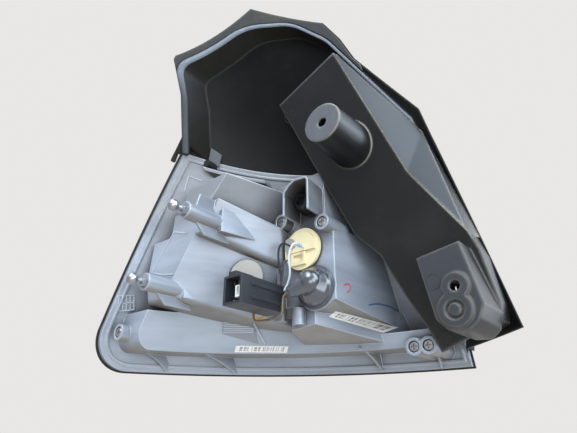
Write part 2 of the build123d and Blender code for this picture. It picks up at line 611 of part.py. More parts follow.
# Rubber boot over the tail lamp holder: ring, dome and tapered elbow
BOOT_RING = 17.5
BOOT_FOOT = 3.0
BOOT_SHOULDER = (14.6, 41.5)
BOOT_BEND = Vector(-43, 38, -112)
BOOT_TIP = Vector(-58.5, 30.5, -120)
boot_base = PLATE_Y - BOOT_FOOT
boot = rod(*TAIL_AXIS, BOOT_RING, boot_base, PLATE_Y)
boot = boot + cone(*TAIL_AXIS, BOOT_SHOULDER[0], BOOT_RING - 1.5, BOOT_SHOULDER[1], boot_base)
boot = boot + cone(*TAIL_AXIS, 9.5, BOOT_SHOULDER[0], BOOT_SHOULDER[1] - 5.5, BOOT_SHOULDER[1])
boot = boot + Pos(BOOT_BEND) * Sphere(10)
elbow_way = BOOT_TIP - BOOT_BEND
boot = boot + Solid.make_cone(9.5, 4.5, elbow_way.length, Plane(BOOT_BEND, z_dir=elbow_way))
boot = boot - rod(*TAIL_AXIS, TAIL_FLANGE + FIT, flange_face - 1, PLATE_Y)
tip_hole = Plane(BOOT_TIP, z_dir=elbow_way * -1)
boot = boot - Solid.make_cylinder(WIRE_RADIUS + 0.1, 6, tip_hole)
keep("tail_boot", boot)


def block(x, y, z):
    return Pos(sum(x) / 2, sum(y) / 2, sum(z) / 2) * Box(x[1] - x[0], y[1] - y[0], z[1] - z[0])


def drawn_in(span, gap):
    return (span[0] + gap, span[1] - gap)


# Connector: shell with an open mouth, guide rails and latch, pale insert and blades
mouth_floor = CONNECTOR_Y[0] + MOUTH_DEPTH
mouth_x = drawn_in(CONNECTOR_X, CONNECTOR_WALL)
mouth_z = drawn_in(CONNECTOR_Z, CONNECTOR_WALL)
shell = block(CONNECTOR_X, CONNECTOR_Y, CONNECTOR_Z)
for z in (-119, -129):
    shell = shell + block((CONNECTOR_X[1], CONNECTOR_X[1] + RAIL), (-5, 32), (z - 1, z + 1))
shell = shell + block((-80, -72), (CONNECTOR_Y[0], 3), (CONNECTOR_Z[1], CONNECTOR_Z[1] + 3))
shell = shell - block(mouth_x, (CONNECTOR_Y[0], mouth_floor), mouth_z)
insert_front = mouth_floor - INSERT_DEPTH
insert = block(drawn_in(mouth_x, FIT), (insert_front, mouth_floor), drawn_in(mouth_z, FIT))
insert = insert + block(TOWER_X, (insert_front - TOWER_LENGTH, insert_front), TOWER_Z)
insert = insert - block((-75.5, -73.5), (insert_front - TOWER_LENGTH, insert_front - 2), (-127, -121))
keep("connector_insert", insert)
blades = [block((x - 0.4, x + 0.4), (insert_front - BLADE_LENGTH, insert_front), (z - 1.2, z + 1.2)) for x, z in BLADES]
keep("connector_terminals", Compound(blades))

# Leads, each a round wire bent from straight runs and arcs
ENTRY_Y = CONNECTOR_Y[1] - WIRE_ENTRY
side_face = side_plane(side_top)
side_start = side_face.origin - side_face.y_dir * 8
tip_way = elbow_way.normalized()
ground_start = side_start + side_face.x_dir * 4
leads = {
    "white": (
        (-69, ENTRY_Y, -116), (-69, 38, -116), (-62, 36, -104), (-59, 28, -92), (-52, 29, -79.8), (-52, 42, -79.8),
    ),
    "black": (
        (-72, ENTRY_Y, -116), (-72, 37, -116), (-73, 38, -104), (-73, 34, -86), (-66, 31, -75.5), (-66, 42, -75.5),
    ),
    "grey": (
        (-75.2, ENTRY_Y, -117), (-75.2, 38, -117), (-75.2, 41, -104), (-69.5, 37.5, -88), (-69.5, 44, -88),
    ),
    "brown": (
        BOOT_TIP - tip_way * 4, BOOT_TIP + tip_way * 5.2, (-62.5, 27, -138), (-74, 24, -141), (-88, 22, -140),
        (-90, 23, -126), ground_start + side_face.z_dir * 6, ground_start,
    ),
    "yellow": (
        (-82, ENTRY_Y, -121), (-82, 37.5, -121), (-87, 38, -132), (-91, 28, -139), (-92, 20, -124),
        side_start + side_face.z_dir * 6, side_start,
    ),
}
for colour, route in leads.items():
    path = FilletPolyline(*route, radius=WIRE_BEND)
    keep("wire_" + colour, sweep(Plane(path @ 0, z_dir=path % 0) * Circle(WIRE_RADIUS), path))
    if colour != "brown":
        x, _, z = route[0]
        shell = shell - rod(x, z, WIRE_RADIUS + 0.1, ENTRY_Y, CONNECTOR_Y[1])
keep("connector_shell", shell)
pin_foot = skin_y(*GUIDE_PIN, flange_inner)
guide_pin = rod(*GUIDE_PIN, GUIDE_PIN_RADIUS, pin_foot - GUIDE_PIN_LENGTH, pin_foot + 3 * GUIDE_PIN_RADIUS)
keep("guide_pin", guide_pin & skin_core(flange_inner))
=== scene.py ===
import math

import bmesh
import bpy
from mathutils import Matrix, Vector
from mathutils.bvhtree import BVHTree


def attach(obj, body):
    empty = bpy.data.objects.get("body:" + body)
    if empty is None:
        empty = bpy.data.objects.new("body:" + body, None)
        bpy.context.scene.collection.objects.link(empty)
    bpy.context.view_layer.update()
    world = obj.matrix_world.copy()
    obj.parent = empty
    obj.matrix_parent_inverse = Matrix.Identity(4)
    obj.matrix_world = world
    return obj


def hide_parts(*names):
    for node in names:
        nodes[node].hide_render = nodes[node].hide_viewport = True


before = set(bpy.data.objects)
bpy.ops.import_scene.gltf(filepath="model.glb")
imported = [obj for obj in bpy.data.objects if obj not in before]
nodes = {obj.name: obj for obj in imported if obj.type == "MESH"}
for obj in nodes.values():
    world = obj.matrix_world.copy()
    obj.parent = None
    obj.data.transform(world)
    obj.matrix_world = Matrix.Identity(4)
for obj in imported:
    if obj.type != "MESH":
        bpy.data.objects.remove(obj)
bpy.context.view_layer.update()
scene = bpy.context.scene
MM = 0.001

# Viewpoint: where the picture was taken from, and its lens in pixels of a 577 x 433 picture
CAMERA_PLACE = Vector((0.1611, -0.2372, -0.2121))
RIGHT = Vector((0.7727, 0.6347, 0.0))
UP = Vector((0.2643, -0.3217, 0.9092))
BACK = Vector((0.5771, -0.7026, -0.4163))
PICTURE = (577, 433)
FOCAL = 444

# Places on the solids that the finishes follow
SKIN_AXIS = (0.0378, -0.1426)  # X and Y of the axis that the lamp's skin curves round, at Z = 0
SKIN_LEAN = (0.20, -0.36)  # how far that axis moves in X and Y for each metre of Z
# the raised rim of the trim, which carries a painted highlight, and where that highlight fades
RIM_RADIUS = 0.2204
RIM_FADE_HEIGHT = (0.06, 0.1)
RIM_FADE_INBOARD = (-0.05, 0.0)
BOSS_FACE = 0.0006
BLOCK_FACE = (0.0575, 0.0606)
BLOCK_TOP = -0.0975
# inboard of this X and above this Z, the painted highlight on the bracket's edges is strongest, along its
# ridge
RIDGE_INBOARD = (-0.005, 0.02)
RIDGE_FOOT = (-0.096, -0.086)
# heights over which the housing's upper part gets painted shade
UPPER_SHADE_HEIGHT = (-0.07, -0.03)

AO_SAMPLES = 8
BEVEL_SAMPLES = 6
EDGE_TURN = (0.01, 0.16)
BUMP_DEPTH = 0.0002
BUMP_STRENGTH = 0.1


def new_node(tree, kind, settings, sockets):
    # one node, with its settings made and its inputs linked or filled in
    node = tree.nodes.new(kind)
    for key, value in (settings or {}).items():
        setattr(node, key, value)
    for key, value in (sockets or {}).items():
        if isinstance(value, bpy.types.NodeSocket):
            tree.links.new(value, node.inputs[key])
        else:
            node.inputs[key].default_value = value
    return node


class Value:
    """One socket of a finish, so that sums on sockets can be written as sums."""

    def __init__(self, finish, socket):
        self.finish = finish
        self.socket = socket

    def math(self, operation, first, second):
        return self.finish.add("ShaderNodeMath", {"operation": operation}, {0: first, 1: second})

    def __add__(self, other):
        return self.math("ADD", self, other)

    def __radd__(self, other):
        return self.math("ADD", other, self)

    def __sub__(self, other):
        return self.math("SUBTRACT", self, other)

    def __rsub__(self, other):
        return self.math("SUBTRACT", other, self)

    def __mul__(self, other):
        return self.math("MULTIPLY", self, other)

    def __rmul__(self, other):
        return self.math("MULTIPLY", other, self)

    def above(self, edge):
        return self.math("GREATER_THAN", self, edge)

    def below(self, edge):
        return self.math("LESS_THAN", self, edge)

    def floor(self):
        return self.math("FLOOR", self, 0.0)

    def ramp(self, low, high):
        # from 0 at low to 1 at high, eased at both ends
        settings = {"interpolation_type": "SMOOTHSTEP", "clamp": True}
        sockets = {"Value": self, "From Min": low, "From Max": high, "To Min": 0.0, "To Max": 1.0}
        return self.finish.add("ShaderNodeMapRange", settings, sockets)


class Nodes:
    """A tree of shader nodes, all of them added by one method."""

    def __init__(self, tree):
        self.tree = tree
        self.tree.nodes.clear()

    def add(self, kind, settings=None, sockets=None, out=0):
        given = {
            key: value.socket if isinstance(value, Value) else value
            for key, value in (sockets or {}).items()
        }
        node = new_node(self.tree, kind, settings, given)
        return Value(self, node.outputs[out]) if node.outputs else None

    def blend(self, amount, first, second):
        sockets = {"Factor": amount, 6: first, 7: second}
        return self.add("ShaderNodeMix", {"data_type": "RGBA"}, sockets, 2)

    def dot(self, first, second):
        return self.add("ShaderNodeVectorMath", {"operation": "DOT_PRODUCT"}, {0: first, 1: second}, "Value")


class Finish(Nodes):
    """A material, with the patterns that the finishes share."""

    def __init__(self, name):
        self.material = bpy.data.materials.new(name)
        self.material.use_nodes = True
        super().__init__(self.material.node_tree)
        self.place = self.add("ShaderNodeTexCoord", out="Object")

    def noise(self, scale, detail=3.0, roughness=0.55):
        # one scale, or one for each axis
        place = self.place
        if isinstance(scale, tuple):
            place = self.add("ShaderNodeVectorMath", {"operation": "MULTIPLY"}, {0: place, 1: scale})
            scale = 1.0
        sockets = {"Vector": place, "Scale": scale, "Detail": detail, "Roughness": roughness}
        return self.add("ShaderNodeTexNoise", None, sockets, "Fac")

    def axis(self, name):
        return self.add("ShaderNodeSeparateXYZ", None, {0: self.place}, name)

    def facing(self, axis):
        normal = self.add("ShaderNodeNewGeometry", out="Normal")
        return self.add("ShaderNodeSeparateXYZ", None, {0: normal}, axis)

    def hollow(self, reach):
        # 0 in the open, towards 1 in corners and pockets
        return 1 - self.add("ShaderNodeAmbientOcclusion", {"samples": AO_SAMPLES}, {"Distance": reach}, "AO")

    def soft_edges(self, radius):
        return self.add("ShaderNodeBevel", {"samples": BEVEL_SAMPLES}, {"Radius": radius})

    def edge(self, rounded):
        # how far the rounded normal turns away from the flat one
        flat = self.add("ShaderNodeNewGeometry", out="Normal")
        return (1 - self.dot(rounded, flat)).ramp(*EDGE_TURN)

    def bump(self, height, normal):
        sockets = {"Height": height, "Distance": BUMP_DEPTH, "Strength": BUMP_STRENGTH, "Normal": normal}
        return self.add("ShaderNodeBump", None, sockets)

    def surface(self, **sockets):
        named = {key.replace("_", " ").title().replace("Ior", "IOR"): value for key, value in sockets.items()}
        shader = self.add("ShaderNodeBsdfPrincipled", None, named)
        self.add("ShaderNodeOutputMaterial", None, {"Surface": shader})
        return self.material


def rgb(red, green, blue):
    # written as the eye reads it, from 0 to 255
    def linear(level):
        level = level / 255
        return level / 12.92 if level <= 0.04045 else ((level + 0.055) / 1.055) ** 2.4

    return (linear(red), linear(green), linear(blue), 1.0)


def grey_moulding(name, edge_width, edge_highlight_share):
    # satin silver-grey plastic: faint flow lines, painted shade on the upper part, painted brown shade on
    # what faces down, painted shade in corners and painted highlights on edges
    f = Finish(name)
    silver, bright_silver = rgb(148, 155, 167), rgb(172, 180, 192)
    painted_upper_shade, painted_underside_shade = rgb(124, 121, 115), rgb(134, 125, 113)
    painted_corner_shade, painted_edge_highlight = rgb(76, 73, 69), rgb(224, 230, 236)
    streaks = f.noise((9, 9, 46), 4, 0.6)
    blotches = f.noise(70, 5, 0.65)
    grain = f.noise(900, 2)
    under = f.facing("Z").ramp(-0.45, -0.9)
    upper_shade = f.axis("Z").ramp(*UPPER_SHADE_HEIGHT)
    edges = f.soft_edges(edge_width)
    colour = f.blend(streaks.ramp(0.3, 0.7), silver, bright_silver)
    # painted shade: the upper part darker, where the trim shades it
    colour = f.blend(upper_shade * (0.35 + 0.3 * blotches), colour, painted_upper_shade)
    # painted shade: a brown tone in blotches on what faces down
    colour = f.blend(under * (0.5 + 0.5 * blotches), colour, painted_underside_shade)
    # painted shade in corners and pockets
    colour = f.blend(f.hollow(0.035).ramp(0.12, 0.85) * 0.9, colour, painted_corner_shade)
    # painted highlight along edges
    colour = f.blend(f.edge(edges) * edge_highlight_share, colour, painted_edge_highlight)
    return f.surface(
        base_color=colour,
        metallic=0.2,
        roughness=0.26 + 0.1 * streaks + 0.08 * blotches,
        specular_ior_level=0.6,
        normal=f.bump(grain, edges),
    )


def black_moulding(name, shade, dust, gloss, edge_width, edge_highlight, wear_and_highlight=(), specular=0.4):
    # dark plastic or foam with dust and painted highlights on its edges; each mask given is paired with the
    # tone it brings, real wear on the bracket and a painted highlight on the trim's rim
    f = Finish(name)
    dust_tone, edge_highlight_tone = rgb(104, 98, 88), rgb(168, 160, 144)
    clouds = f.noise(14, 5, 0.6)
    scuffs = f.noise(150, 4, 0.7)
    dusty = (clouds.ramp(0.45, 0.75) * 0.6 + scuffs.ramp(0.55, 0.8) * 0.4) * dust
    edges = f.soft_edges(edge_width)
    colour = f.blend(dusty, rgb(shade, shade + 1, shade + 2), dust_tone)
    # each mask brings its tone: real wear, or a painted highlight such as the one on the trim's rim
    for mask, tone in wear_and_highlight:
        colour = f.blend(mask(f) * (0.55 + 0.45 * scuffs), colour, tone)
    # painted highlight on edges, strongest on the bracket's inboard ridge
    ridge = f.axis("X").ramp(*RIDGE_INBOARD) * f.axis("Z").ramp(*RIDGE_FOOT)
    colour = f.blend(f.edge(edges) * (0.3 + 0.7 * ridge) * edge_highlight, colour, edge_highlight_tone)
    return f.surface(
        base_color=colour,
        roughness=gloss + 0.14 * clouds + 0.25 * dusty,
        specular_ior_level=specular,
        normal=f.bump(scuffs, edges),
    )


def boss_end(f):
    # the face of the boss that bears on the car body
    return f.axis("Y").below(BOSS_FACE)


def block_face(f):
    # the face of the block, and its pad
    depth = f.axis("Y")
    return depth.above(BLOCK_FACE[0]) * depth.below(BLOCK_FACE[1]) * f.axis("Z").below(BLOCK_TOP)


def inner_wall(f):
    # the wall between the rim and the floor of the trim, given a lighter tone: what doesn't face the car body
    return f.facing("Y").ramp(-0.75, -0.45)


def rim_highlight(f):
    # a painted highlight on the raised rim of the trim, found by its distance from the leaning axis of the
    # lamp's skin, fainter low down on the outer side
    height = f.axis("Z")
    across = f.axis("X") - SKIN_AXIS[0] - SKIN_LEAN[0] * height
    depth = f.axis("Y") - SKIN_AXIS[1] - SKIN_LEAN[1] * height
    crest = (across * across + depth * depth).below(RIM_RADIUS**2)
    high = height.ramp(*RIM_FADE_HEIGHT)
    inboard = f.axis("X").ramp(*RIM_FADE_INBOARD)
    return crest * (0.25 + 0.75 * (high + inboard - high * inboard))


def plain(
    name, colour, roughness, metallic=0.0, radius=0.0006, corner_shade=0.3, highlight_share=0.0, specular=0.5, coat=0.0
):
    # one colour with painted shade in its corners, painted highlights on its edges and an uneven gloss
    f = Finish(name)
    mottle = f.noise(120, 4)
    dark = tuple(0.2 * level for level in colour[:3]) + (1.0,)
    pale = tuple(min(1.0, 0.25 + 0.75 * level) for level in colour[:3]) + (1.0,)
    edges = f.soft_edges(radius)
    # painted shade in corners
    shade = f.blend(f.hollow(0.006).ramp(0.3, 1.0) * corner_shade, colour, dark)
    # painted highlight along edges
    shade = f.blend(f.edge(edges) * highlight_share, shade, pale)
    return f.surface(
        base_color=shade,
        roughness=roughness + 0.14 * (mottle - 0.5),
        metallic=metallic,
        specular_ior_level=specular,
        coat_weight=coat,
        coat_roughness=0.14,
        normal=edges,
    )


def red_lens():
    f = Finish("red_lens")
    haze = f.noise(60, 3)
    return f.surface(
        base_color=f.blend(haze.ramp(0.3, 0.7), rgb(124, 5, 9), rgb(130, 6, 10)),
        roughness=0.05 + 0.06 * haze,
        transmission_weight=0.15,
        ior=1.49,
    )


def bulb_glass():
    f = Finish("bulb_glass")
    haze = f.noise(200, 2)
    return f.surface(
        base_color=rgb(250, 250, 246),
        roughness=0.03 + 0.04 * haze,
        transmission_weight=0.9,
        ior=1.45,
    )


# the trim's lighter inner wall and a painted highlight on its rim; the bracket's worn boss end and block face
TRIM_WALL_AND_RIM_HIGHLIGHT = ((inner_wall, rgb(48, 46, 43)), (rim_highlight, rgb(150, 160, 172)))
BRACKET_WORN = ((boss_end, rgb(104, 106, 110)), (block_face, rgb(64, 66, 70)))
grey = grey_moulding("grey_moulding", 0.0014, 0.65)
pad_grey = plain("pad_grey", rgb(140, 145, 152), 0.42, radius=0.0004)
fine_grey = plain("fine_grey", rgb(186, 193, 201), 0.36, radius=0.0004, corner_shade=0.35, highlight_share=0.8)
trim = black_moulding("trim_black", 5, 0.1, 0.24, 0.0026, 0.12, TRIM_WALL_AND_RIM_HIGHLIGHT, 0.2)
bracket = black_moulding("bracket_black", 26, 0.14, 0.26, 0.0034, 1.0, BRACKET_WORN)
foam = black_moulding("dusty_foam", 62, 0.9, 0.7, 0.002, 0.5)
zinc = plain("bright_zinc", rgb(176, 178, 182), 0.34, metallic=1.0, radius=0.0004, corner_shade=0.6)
steel = plain("screw_steel", rgb(190, 188, 182), 0.34, metallic=1.0, radius=0.0003, corner_shade=0.95)
cream = plain("cream_plastic", rgb(242, 228, 184), 0.42, corner_shade=0.65)
dark_plastic = plain("dark_plastic", rgb(36, 37, 40), 0.4)
rubber = plain("boot_rubber", rgb(66, 70, 78), 0.22, radius=0.0014, corner_shade=0.5, specular=1.0, coat=1.0)
seal = plain("seal_rubber", rgb(24, 24, 25), 0.7)
plug_black = plain("plug_black", rgb(42, 44, 50), 0.4, radius=0.0005, highlight_share=0.25)
glass = bulb_glass()
FINISHES = {
    "rear_housing": grey,
    "outer_lens": red_lens(),
    "lens_bead": seal,
    "garnish": trim,
    "garnish_seal": foam,
    "mount_bracket": bracket,
    "upper_ball_stud": zinc,
    "lower_ball_stud": zinc,
    "hood_screws": steel,
    "inboard_screws": steel,
    "corner_screw": steel,
    "guide_pin": dark_plastic,
    "turn_bulb_holder": cream,
    "side_bulb_holder": plain("pale_plastic", rgb(186, 182, 174), 0.45),
    "tail_bulb_holder": dark_plastic,
    "reverse_bulb_holder": dark_plastic,
    "tail_boot": rubber,
    "turn_seal": seal,
    "tail_seal": seal,
    "reverse_seal": seal,
    "side_seal": seal,
    "turn_bulb": glass,
    "tail_bulb": glass,
    "reverse_bulb": glass,
    "side_bulb": glass,
    "reflector": plain("bright_chrome", rgb(232, 233, 236), 0.08, metallic=1.0),
    "connector_shell": plug_black,
    "connector_insert": plain("plug_white", rgb(238, 238, 236), 0.45),
    "connector_terminals": plain("terminal_tin", rgb(206, 196, 160), 0.3, metallic=1.0),
    "wire_white": plain("lead_white", rgb(226, 232, 238), 0.4),
    "wire_black": plain("lead_black", rgb(40, 40, 43), 0.4),
    "wire_brown": plain("lead_brown", rgb(112, 92, 66), 0.4),
    "wire_yellow": plain("lead_yellow", rgb(214, 170, 62), 0.4),
    "wire_grey": plain("lead_grey", rgb(70, 72, 76), 0.4),
}
for node, finish in FINISHES.items():
    mesh = nodes[node].data
    mesh.materials.clear()
    mesh.materials.append(finish)


# Fine details: sizes, and places in pixels of the picture
STICKER_LIFT = 0.1 * MM
STICKER_THICK = 0.15 * MM
STICKER_COLUMNS = 16
STICKER_ROWS = 2
LONG_STICKER = ((335.5, 311), (398.5, 327.5), (383.4, 333), (328.3, 316.8))
LONG_BARS = 96
SHELF_STICKER = ((236, 345.6), (288.6, 346.2), (287, 352.8), (234.3, 352.2))
SHELF_BARS = 80
PRINT_SPAN = (0.08, 0.93)
PRINT_ROWS = ((0.2, 0.5), (0.58, 0.78))
BAR_CHANCE = 0.45

STROKE_STEPS = 6
STROKE_TAPER = 0.4
INK_HEIGHT = 0.12 * MM
RED_HOOK = ((343.5, 285.5), (346, 284), (349, 284), (350.7, 287.3), (349.6, 290.5), (347, 293))
RED_WIDTH = 1.0 * MM
BLUE_ARC = ((368.5, 305), (374, 304), (380, 304), (390, 306.7), (398.5, 311.7))
BLUE_WIDTH = 1.1 * MM
RIDGES = {
    "panel_ridge": ((152, 273), (163, 252), (174.5, 232), (187, 233.5)),
    "panel_foot": ((152, 273), (164, 275), (174, 274)),
    "upper_ridge": ((184, 192), (188.5, 176), (203, 181)),
}
RIDGE_WIDTH = 1.2 * MM
RIDGE_HEIGHT = 0.5 * MM
WEB_EDGE = ((253.6, 322), (259, 333), (265, 344))
WEB_WIDTH = 1.4 * MM
WEB_HEIGHT = 1.2 * MM

RIB_PAD = ((223.6, 322.1), (253.6, 322.1), (257.9, 343.6), (222.6, 333.6))
PAD_SINK = MM
PAD_THICK = 2 * MM
RIB_COUNT = 6
RIB_WIDTH = 1.1 * MM
RIB_HEIGHT = 2.4 * MM
WINDOW = ((119, 296), (134, 295), (134, 310), (119, 311))
WINDOW_LIFT = 0.3 * MM
WINDOW_GRID = (5, 3)
WINDOW_BAR = 0.7 * MM
EJECTORS = ((433, 282), (290, 117), (445, 338))
EJECTOR_RADIUS = 5.5 * MM
EJECTOR_LINE = 0.22 * MM
RING_SIDES = 40
BAR_SIDES = 6

FLAP = ((209, 160), (211.5, 148.5), (222, 155.5), (219, 167.5), (213.5, 163))
FLAP_FOOT = (214, 166)
FLAP_FACING = Vector((0.55, -0.8, -0.22)).normalized()
FLAP_THICK = 1.2 * MM
LUG = ((286, 241), (289.5, 238.5), (295, 240), (296, 247), (291.5, 250.5), (288.5, 255), (285.6, 250.5))
LUG_FOOT = (297, 247)
LUG_SINK = 0.6 * MM
LUG_THICK = 1.0 * MM

# The sleeve's middle line runs along Y; its profile gives steps along it and radii, in mm
SLEEVE_AT = Vector((-52, 32.5, -79.8)) * MM
SLEEVE_PROFILE = ((0.0, 0.95), (0.4, 1.45), (4.2, 1.5), (4.7, 1.25), (6.4, 1.25), (7.0, 0.95))
SLEEVE_SIDES = 20
# The leads' middle lines, in mm
LEAD_RADIUS = 0.9 * MM
LEAD_SIDES = 12
LEAD_STEPS = 8
SMOOTH_LEADS = {
    "white": (
        (-69, 30, -116), (-69, 36, -116), (-65.5, 37.5, -110), (-61, 35, -102), (-58.5, 30.5, -92),
        (-55.5, 28.8, -84.5), (-52.7, 29.8, -80.3), (-52, 33, -79.8), (-52, 42, -79.8),
    ),
    "black": (
        (-72, 30, -116), (-72, 35.5, -116), (-72.7, 37.6, -110), (-73, 37.6, -102), (-73, 34.5, -88),
        (-70.5, 32, -79.5), (-66.8, 31.8, -76), (-66, 34.5, -75.5), (-66, 42, -75.5),
    ),
}


def sight(pixel):
    # from the viewpoint through one pixel of the picture
    across, down = pixel
    way = RIGHT * (across - PICTURE[0] / 2) + UP * (PICTURE[1] / 2 - down) - BACK * FOCAL
    return way.normalized()


def skin_of(name):
    # a solid's surface, for finding what lies under a pixel
    solid = nodes[name]
    points = [solid.matrix_world @ corner.co for corner in solid.data.vertices]
    return BVHTree.FromPolygons(points, [list(face.vertices) for face in solid.data.polygons])


def touch(skin, pixel):
    # where a pixel's line of sight meets a surface, and which way the surface faces there
    place, normal, _, _ = skin.ray_cast(CAMERA_PLACE, sight(pixel))
    if place is None:
        raise ValueError(f"nothing under pixel {pixel}")
    return place, normal.normalized()


def on_plane(pixel, place, normal):
    way = sight(pixel)
    return CAMERA_PLACE + way * ((place - CAMERA_PLACE).dot(normal) / way.dot(normal))


def middle_of(pixels):
    return tuple(sum(pixel[axis] for pixel in pixels) / len(pixels) for axis in (0, 1))


def mesh_of(shape, name):
    bmesh.ops.recalc_face_normals(shape, faces=shape.faces)
    mesh = bpy.data.meshes.new(name)
    shape.to_mesh(mesh)
    shape.free()
    return mesh


def piece_of(name, finish, mesh):
    mesh.materials.clear()
    mesh.materials.append(finish)
    piece = bpy.data.objects.new(name, mesh)
    scene.collection.objects.link(piece)
    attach(piece, "root")
    return piece


def prism(name, finish, outline, rise):
    # a solid between an outline and the same outline moved by rise
    shape = bmesh.new()
    low = [shape.verts.new(place) for place in outline]
    high = [shape.verts.new(place + rise) for place in outline]
    shape.faces.new(high)
    shape.faces.new(reversed(low))
    for i, corner in enumerate(low):
        after = (i + 1) % len(low)
        shape.faces.new((corner, low[after], high[after], high[i]))
    return piece_of(name, finish, mesh_of(shape, name))


def threaded(name, finish, outlines, smooth=False):
    # a solid through a row of closed outlines with equal numbers of corners
    shape = bmesh.new()
    rings = [[shape.verts.new(corner) for corner in outline] for outline in outlines]
    for first, second in zip(rings, rings[1:]):
        for i in range(len(first)):
            after = (i + 1) % len(first)
            face = shape.faces.new((first[i], first[after], second[after], second[i]))
            face.smooth = smooth
    shape.faces.new(rings[0])
    shape.faces.new(rings[-1])
    return piece_of(name, finish, mesh_of(shape, name))


def around(place, side, other, radius, count):
    # the corners of a round outline in the plane of two ways
    turns = [math.tau * step / count for step in range(count)]
    return [place + (side * math.cos(turn) + other * math.sin(turn)) * radius for turn in turns]


def within(corners, spot):
    # the place at a share of the way across and down a four-cornered patch
    upper = corners[0].lerp(corners[1], spot[0])
    lower = corners[3].lerp(corners[2], spot[0])
    return upper.lerp(lower, spot[1])


def sticker(name, skin, pixels, finish):
    # thin paper lying on the surface, its pattern spread from 0 to 1 each way
    shape = bmesh.new()
    pattern = shape.loops.layers.uv.new("pattern")
    corners = [Vector(pixel) for pixel in pixels]
    where, layers = {}, []
    for lift in (STICKER_LIFT, STICKER_LIFT + STICKER_THICK):
        layer = []
        for row in range(STICKER_ROWS + 1):
            for column in range(STICKER_COLUMNS + 1):
                spot = (column / STICKER_COLUMNS, row / STICKER_ROWS)
                place, normal = touch(skin, within(corners, spot))
                corner = shape.verts.new(place + normal * lift)
                where[corner] = spot
                layer.append(corner)
        layers.append(layer)
    wide = STICKER_COLUMNS + 1
    for layer in layers:
        for row in range(STICKER_ROWS):
            for i in range(row * wide, row * wide + STICKER_COLUMNS):
                shape.faces.new((layer[i], layer[i + 1], layer[i + wide + 1], layer[i + wide]))
    low, high = layers
    rim = list(range(wide)) + [row * wide + STICKER_COLUMNS for row in range(1, STICKER_ROWS + 1)]
    rim += [STICKER_ROWS * wide + i for i in range(STICKER_COLUMNS - 1, -1, -1)]
    rim += [row * wide for row in range(STICKER_ROWS - 1, 0, -1)]
    for i, after in zip(rim, rim[1:] + rim[:1]):
        shape.faces.new((low[i], low[after], high[after], high[i]))
    for face in shape.faces:
        for loop in face.loops:
            loop[pattern].uv = where[loop.vert]
    return piece_of(name, finish, mesh_of(shape, name))


def stroke(name, skin, pixels, width, finish, height=INK_HEIGHT):
    # a pen line or a low moulded ridge: a narrow band that follows the surface through those pixels
    spots = []
    for start, end in zip(pixels, pixels[1:]):
        shares = [step / STROKE_STEPS for step in range(STROKE_STEPS)]
        spots += [tuple(a + (b - a) * share for a, b in zip(start, end)) for share in shares]
    places = [touch(skin, spot) for spot in spots + [pixels[-1]]]
    last = len(places) - 1
    outlines = []
    for i, (place, normal) in enumerate(places):
        along = (places[min(i + 1, last)][0] - places[max(i - 1, 0)][0]).normalized()
        taper = STROKE_TAPER if i in (0, last) else 1.0
        side = normal.cross(along).normalized() * width / 2 * taper
        base, top = place - normal * height, place + normal * height
        outlines.append((base - side, base + side, top + side, top - side))
    return threaded(name, finish, outlines)


class Shapes:
    """A Geometry Nodes tree with named inputs, ending in real instances and a material."""

    def __init__(self, name, inputs, takes_mesh=False):
        self.tree = bpy.data.node_groups.new(name, "GeometryNodeTree")
        interface = self.tree.interface
        if takes_mesh:
            interface.new_socket("Geometry", in_out="INPUT", socket_type="NodeSocketGeometry")
        self.sockets = {
            label: interface.new_socket(label, in_out="INPUT", socket_type="NodeSocket" + kind).identifier
            for label, kind in {**inputs, "Material": "Material"}.items()
        }
        interface.new_socket("Geometry", in_out="OUTPUT", socket_type="NodeSocketGeometry")
        self.given = self.tree.nodes.new("NodeGroupInput").outputs

    def add(self, kind, settings=None, sockets=None):
        node = new_node(self.tree, kind, settings, sockets)
        return node.outputs[0] if node.outputs else None

    def close(self, geometry):
        real = self.add("GeometryNodeRealizeInstances", None, {"Geometry": geometry})
        sockets = {"Geometry": real, "Material": self.given["Material"]}
        coated = self.add("GeometryNodeSetMaterial", None, sockets)
        self.add("NodeGroupOutput", None, {"Geometry": coated})
        return self

    def make(self, name, slot, finish, place=None, source=None, **values):
        # runs the tree once and keeps a plain mesh of what it makes
        source = source or bpy.data.meshes.new(name + "_source")
        carrier = bpy.data.objects.new(name + "_carrier", source)
        scene.collection.objects.link(carrier)
        tool = carrier.modifiers.new("shapes", "NODES")
        tool.node_group = self.tree
        for label, value in values.items():
            tool[self.sockets[label]] = value
        tool[self.sockets["Material"]] = finish
        ready = carrier.evaluated_get(bpy.context.evaluated_depsgraph_get())
        shape = bmesh.new()
        shape.from_mesh(bpy.data.meshes.new_from_object(ready))
        carrier.modifiers.remove(tool)
        bpy.data.objects.remove(carrier)
        if place is not None:
            shape.transform(place)
        return piece_of(name, finish, mesh_of(shape, name))


def bar_row():
    # equal bars side by side
    s = Shapes("bar_row", {"Count": "Int", "Pitch": "Float", "Size": "Vector"})
    step = s.add("ShaderNodeCombineXYZ", None, {"Y": s.given["Pitch"]})
    points = s.add("GeometryNodeMeshLine", None, {"Count": s.given["Count"], "Offset": step})
    bar = s.add("GeometryNodeMeshCube", None, {"Size": s.given["Size"]})
    return s.close(s.add("GeometryNodeInstanceOnPoints", None, {"Points": points, "Instance": bar}))


